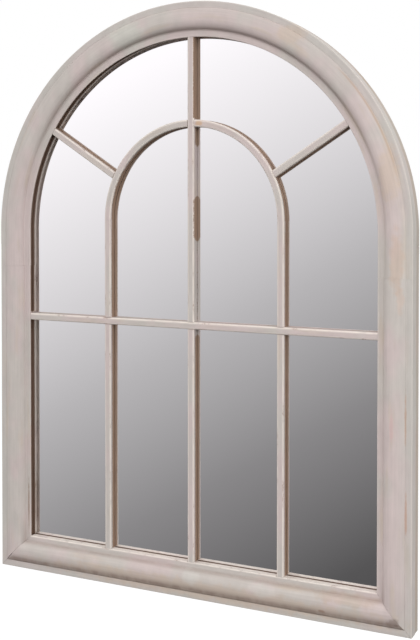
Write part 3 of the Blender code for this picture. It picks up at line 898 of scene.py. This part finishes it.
fit("bottom_rail", path, "rail", 7.7, [*cutters, slit()], (1, -1))
print("frame's front: four lengths, %.0f mm round the head" % (math.pi * outer_radius * 1000))

# %% [markdown]
# The bars are halved into each other, flush at the front, as in a real sash. The transom runs
# through in front of the uprights, the centre bar crosses the inner arch in front, and the side
# bars lap over the arch's legs. The spokes are coped to the arch.

# %% Sweep and halve the bars
front_half = (bar_plane - cut_past, bar_middle + gap / 2)
back_half = (bar_middle - gap / 2, bar_back + cut_past)
inner_middle = inner_radius - bar_width / 2
arch_crown = inner_level + inner_middle
lap_middle = (inner_foot + bar_high.z) / 2
lap_half = (bar_high.z - inner_foot) / 2 + seam
coping_overlap = 0.006


def halving(x, z, half_width, half_height, depths):
    """The cutter of a half-lap joint round one place."""
    return box_cutter((x - half_width, depths[0], z - half_height),
                      (x + half_width, depths[1], z + half_height))


path = stations((transom_low.x, transom_level), (transom_high.x, transom_level))
cutters = [halving(x, transom_level, half_bar, bar_width, back_half) for x in (-bar_place, 0, bar_place)]
fit("transom_bar", path, "level_bar", 11.9, cutters)
for side, name, shift in ((-1, "left_bar", 13.4), (1, "right_bar", 17.2)):
    x = side * bar_place
    cutters = [halving(x, transom_level, bar_width, half_bar, front_half),
               halving(x, lap_middle, bar_width, lap_half, back_half)]
    fit(name, stations((x, bar_low.z), (x, bar_high.z)), "bar", shift, cutters)
cutters = [halving(0, transom_level, bar_width, half_bar, front_half),
           halving(0, arch_crown, bar_width, half_bar + seam, back_half)]
fit("centre_bar", stations((0, centre_low.z), (0, centre_high.z)), "bar", 19.6, cutters)
path = round_arch(inner_middle, inner_level, inner_level - inner_foot)
cutters = [halving(side * inner_middle, lap_middle, bar_width, lap_half, front_half) for side in (-1, 1)]
fit("inner_arch", path, "bar", 23.1, [*cutters, halving(0, arch_crown, half_bar, bar_width, front_half)])
for side, name, shift in ((-1, "left_spoke", 29.3), (1, "right_spoke", 31.7)):
    start, end = [head_centre + spoke_reach(side) * reach
                  for reach in (inner_radius - coping_overlap, sight_radius + let_in)]
    coping = plug((0, bar_middle, inner_level), inner_radius + seam, 0.04, 240)
    fit(name, stations((start.x, start.z), (end.x, end.z)), "bar", shift, [coping])
print("bars: halved at the transom, the laps and the crown")

# %% [markdown]
# The glass is one arched sheet behind the bars. Its silver lies a little behind its front, about
# where the feet of the mouldings and bars end, so the dark foot of the wood shows beside each edge
# of the reflection. A plain board backs the sheet.

# %% Lay the glass and the board
silver_setback = 0.0038


def skinned(name, rings):
    """A closed mesh over two flat rings of points."""
    shape = bmesh.new()
    near_ring, far_ring = [[shape.verts.new(point) for point in ring] for ring in rings]
    shape.faces.new(near_ring)
    shape.faces.new(list(reversed(far_ring)))
    for i in range(len(near_ring)):
        shape.faces.new((near_ring[i - 1], near_ring[i], far_ring[i], far_ring[i - 1]))
    return settle(from_shape(name, shape))


def arched_plate(name, node, finish, slot, setback=0.0):
    """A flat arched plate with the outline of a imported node, whose front may lie back a little."""
    low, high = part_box(node)
    radius = high.x
    top = high.z - radius
    outline = [(radius, low.z)] + [(radius * math.cos(a), top + radius * math.sin(a))
                                   for a in (math.pi * i / 180 for i in range(181))] + [(-radius, low.z)]
    plate = skinned(name, [[(x, y, z) for x, z in outline] for y in (low.y + setback, high.y)])
    plate.data.materials.append(finish)
    dress(plate, slot, node)


arched_plate("silvered_sheet", "mirror_sheet", silver, "mirror", silver_setback)
arched_plate("brown_board", "backing_board", hardboard, "board")
print("silver %.1f mm behind the sheet's front" % (silver_setback * 1000))

# %% [markdown]
# The plain back layer holds the glass and the board. Its bottom rail has two pockets, so that the
# clips on it stay clear of the wall.

# %% Sweep the back layer
pocket_floor = 0.0055
path = round_arch(outer_radius, spring_level, spring_level - back_arch_low.z)
fit("back_arch", path, "back", 37.0, name="back_layer_arch")
for side, name, shift in ((-1, "left_stile", 41.0), (1, "right_stile", 43.0)):
    path = stations((side * outer_radius, back_stile_low.z), (side * outer_radius, back_stile_high.z))
    fit("back_" + name, path[::-side], "back", shift, name="back_layer_" + name)
pockets = []
for node in ("board_clip_07", "board_clip_08"):
    low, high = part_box(node)
    pockets.append(box_cutter((low.x - gap, low.y + pocket_floor, low.z - gap),
                              (high.x + gap, 0.01, high.z + cut_past)))
path = stations((back_rail_high.x, foot_level), (back_rail_low.x, foot_level))
fit("back_bottom_rail", path, "back", 47.0, pockets, name="back_layer_rail")
print("back layer: four lengths, two pockets")

# %% [markdown]
# Eleven offset clips press the board against the glass, and two strap hangers carry loose D-rings.
# Clips, screws and straps are made once each, with bent corners, holes and cross recesses, and then
# scattered. Each ring is a piece of its own, because it swings.

# %% Make the hardware
plate = 0.001
riser_gap = 0.0008
clip_foot = 0.011
clip_tab = 0.018
clip_half = 0.008
clip_hole = 0.002
strap_plate = 0.0015
strap_trim = 0.00003
strap_half = 0.007
strap_length = 0.048
strap_hole = 0.0023
strap_drops = (0.027, 0.04)
wire = 0.00175
ring_half = 0.012 + wire
ring_leg = 0.006
ring_corner = 0.003
clip_screw_rise = 0.002
screw_tip = 0.003


def rounded(points, radii, steps=4):
    """A closed outline whose square corners are rounded by their own radii."""
    outline = []
    for i, (point, radius) in enumerate(zip(points, radii)):
        corner = Vector(point)
        before = (Vector(points[i - 1]) - corner).normalized()
        after = (Vector(points[(i + 1) % len(points)]) - corner).normalized()
        centre = corner + (before + after) * radius
        for k in range(steps + 1):
            outline.append(centre + (-after).slerp(-before, k / steps) * radius)
    return outline


def softened(piece, width):
    """Breaks every sharp edge by a narrow bevel."""
    tool = piece.modifiers.new("edges", "BEVEL")
    tool.width = width
    tool.segments = 2
    tool.limit_method = "ANGLE"
    tool.angle_limit = math.radians(40)
    return settle(plain_mesh(piece, piece.name))


def clip(name, box):
    """An offset clip: X points out of the opening and Z runs along its edge."""
    foot, tab = box[0].y, box[1].y - plate
    near_side = -riser_gap
    far_side = near_side - plate
    outline = [(-clip_foot, foot), (near_side, foot), (near_side, tab), (clip_tab, tab),
               (clip_tab, tab + plate), (far_side, tab + plate), (far_side, foot + plate),
               (-clip_foot, foot + plate)]
    fine, bend = 0.0002, 0.0012
    outline = rounded(outline, (fine, bend, fine, fine, fine, bend, fine, fine))
    made = skinned(name, [[(x, y, z) for x, y in outline] for z in (-clip_half, clip_half)])
    return softened(carve(made, [plug((clip_tab / 2, tab, 0), clip_hole, 0.01, 24)]), 0.0001)


def screw(name, shank, head, rise, length):
    """A pan-head screw along -Y with a cross recess; the head's seat is at the origin."""
    angles = [QUARTER * i / 6 for i in range(6)]
    dome = [(head * math.cos(a), rise * (0.4 + 0.6 * math.sin(a))) for a in angles]
    outline = [(0, -length), (shank, screw_tip - length), (shank, 0), (head, 0), *dome, (0, rise)]
    shape = bmesh.new()
    chain = [shape.verts.new((r, y, 0)) for r, y in outline]
    edges = [shape.edges.new(pair) for pair in zip(chain, chain[1:])]
    bmesh.ops.spin(shape, geom=chain + edges, cent=(0, 0, 0), axis=(0, 1, 0), angle=math.tau, steps=28)
    bmesh.ops.remove_doubles(shape, verts=shape.verts, dist=0.00001)
    size = (head * 1.15, rise, head * 0.24)
    slots = [chisel((0, rise, 0), size, turn) for turn in (0.5, 0.5 + QUARTER)]
    return carve(settle(from_shape(name, shape)), slots)


def strap(name):
    """A strap whose upper end curls round the ring's bar, which is the origin."""
    inner = wire + gap
    outer = inner + strap_plate - strap_trim
    curl = [math.radians(290) * i / 40 - QUARTER for i in range(41)]
    outline = [(-outer, -strap_length), *((outer * math.sin(a), outer * math.cos(a)) for a in curl),
               *((inner * math.sin(a), inner * math.cos(a)) for a in reversed(curl)), (-inner, -strap_length)]
    made = skinned(name, [[(x, y, z) for y, z in outline] for x in (-strap_half, strap_half)])
    shape = bmesh.new()
    shape.from_mesh(made.data)
    low = [e for e in shape.edges if all(v.co.z < gap - strap_length for v in e.verts)
           and abs(e.verts[0].co.x - e.verts[1].co.x) < gap]
    bmesh.ops.bevel(shape, geom=low, offset=0.005, segments=8, profile=0.5, affect="EDGES")
    shape.to_mesh(made.data)
    shape.free()
    holes = [plug((0, -inner, -drop), strap_hole, 0.01, 24) for drop in strap_drops]
    return softened(carve(made, holes), 0.0002)


def ring(name, place):
    """A closed D of round wire that hangs from its straight bar."""
    path = []
    for i in range(9):
        angle = QUARTER * (1 - i / 8)
        path.append((ring_half - ring_corner * (1 - math.cos(angle)), ring_corner * (math.sin(angle) - 1)))
    angles = [math.pi * i / 32 for i in range(33)]
    path += [(ring_half * math.cos(a), -ring_leg - ring_half * math.sin(a)) for a in angles]
    path += [(-x, z) for x, z in reversed(path[:9])]
    curve = bpy.data.curves.new(name, "CURVE")
    curve.dimensions = "3D"
    curve.bevel_depth = wire
    curve.bevel_resolution = 5
    spline = curve.splines.new("POLY")
    spline.points.add(len(path) - 1)
    for point, (x, z) in zip(spline.points, path):
        point.co = (place[0] + x, place[1], place[2] + z, 1)
    spline.use_cyclic_u = True
    made = settle(plain_mesh(show(name + "_path", curve), name))
    made.data.materials.clear()
    made.data.materials.append(zinc)
    return made


def scattered(name, copied, places, *nodes):
    """Copies of one object at (x, y, z, turn) places, which stand in for the nodes that are hidden."""
    mesh = bpy.data.meshes.new(name)
    mesh.from_pydata([place[:3] for place in places], [], [])
    mesh.attributes.new("turn", "FLOAT", "POINT").data.foreach_set("value", [place[3] for place in places])
    made = grown(name, show(name + "_places", mesh), scatter, {"Copied": copied, "Finish": zinc})
    bpy.data.objects.remove(copied)
    dress(settle(made), "zinc", *nodes)


def clip_places(numbers):
    """Where clips sit on the opening's edge, from their screws' boxes, as (x, y, z, turn)."""
    places = []
    for number in numbers:
        low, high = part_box("clip_screw_%02d" % number)
        x, z = (low.x + high.x) / 2, (low.z + high.z) / 2
        if z > spring_level:
            angle = math.atan2(z - spring_level, x)
        else:
            angle = -QUARTER if abs(x) < 0.35 else (0 if x > 0 else math.pi)
        reach = clip_tab / 2
        places.append((x - reach * math.cos(angle), 0, z - reach * math.sin(angle), -angle))
    return places


sunk = (7, 8)
flush = [number for number in range(1, 12) if number not in sunk]
for numbers, kind in ((flush, "flush"), (sunk, "sunk")):
    nodes = ["board_clip_%02d" % number for number in numbers]
    scattered(kind + "_clips", clip(kind + "_clip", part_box(nodes[0])), clip_places(numbers), *nodes)
seats = []
for number in range(1, 12):
    low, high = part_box("clip_screw_%02d" % number)
    seats.append(((low.x + high.x) / 2, high.y - clip_screw_rise, (low.z + high.z) / 2, 0.35 * number))
one_screw = screw("clip_screw", shank=0.0017, head=0.0035, rise=clip_screw_rise, length=0.014)
scattered("clip_screws", one_screw, seats, *("clip_screw_%02d" % number for number in range(1, 12)))
ring_low, ring_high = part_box("hanger_ring_right")
hinge = ((ring_low.x + ring_high.x) / 2, (ring_low.y + ring_high.y) / 2, ring_high.z - wire)
scattered("hanger_straps", strap("strap"), [(side * hinge[0], hinge[1], hinge[2], 0) for side in (-1, 1)],
          "hanger_strap_left", "hanger_strap_right")
seats = []
for side, label in ((-1, "left"), (1, "right")):
    place = (side * hinge[0], hinge[1], hinge[2])
    dress(ring("loose_ring_" + label, place), "zinc", "hanger_ring_" + label, body="ring_" + label)
    seats += [(place[0], gap * 2 + strap_plate, hinge[2] - drop, 0.9 * side + 20 * drop)
              for drop in strap_drops]
one_screw = screw("hanger_screw", shank=0.002, head=0.004, rise=0.0024, length=0.016)
scattered("hanger_screws", one_screw, seats,
          *("hanger_screw_%s_%d" % (side, i) for side in ("left", "right") for i in (1, 2)))
print("hardware: 11 clips, 2 straps, 2 rings and 15 screws")

# %% Finish
for guide in guides.values():
    bpy.data.objects.remove(guide)
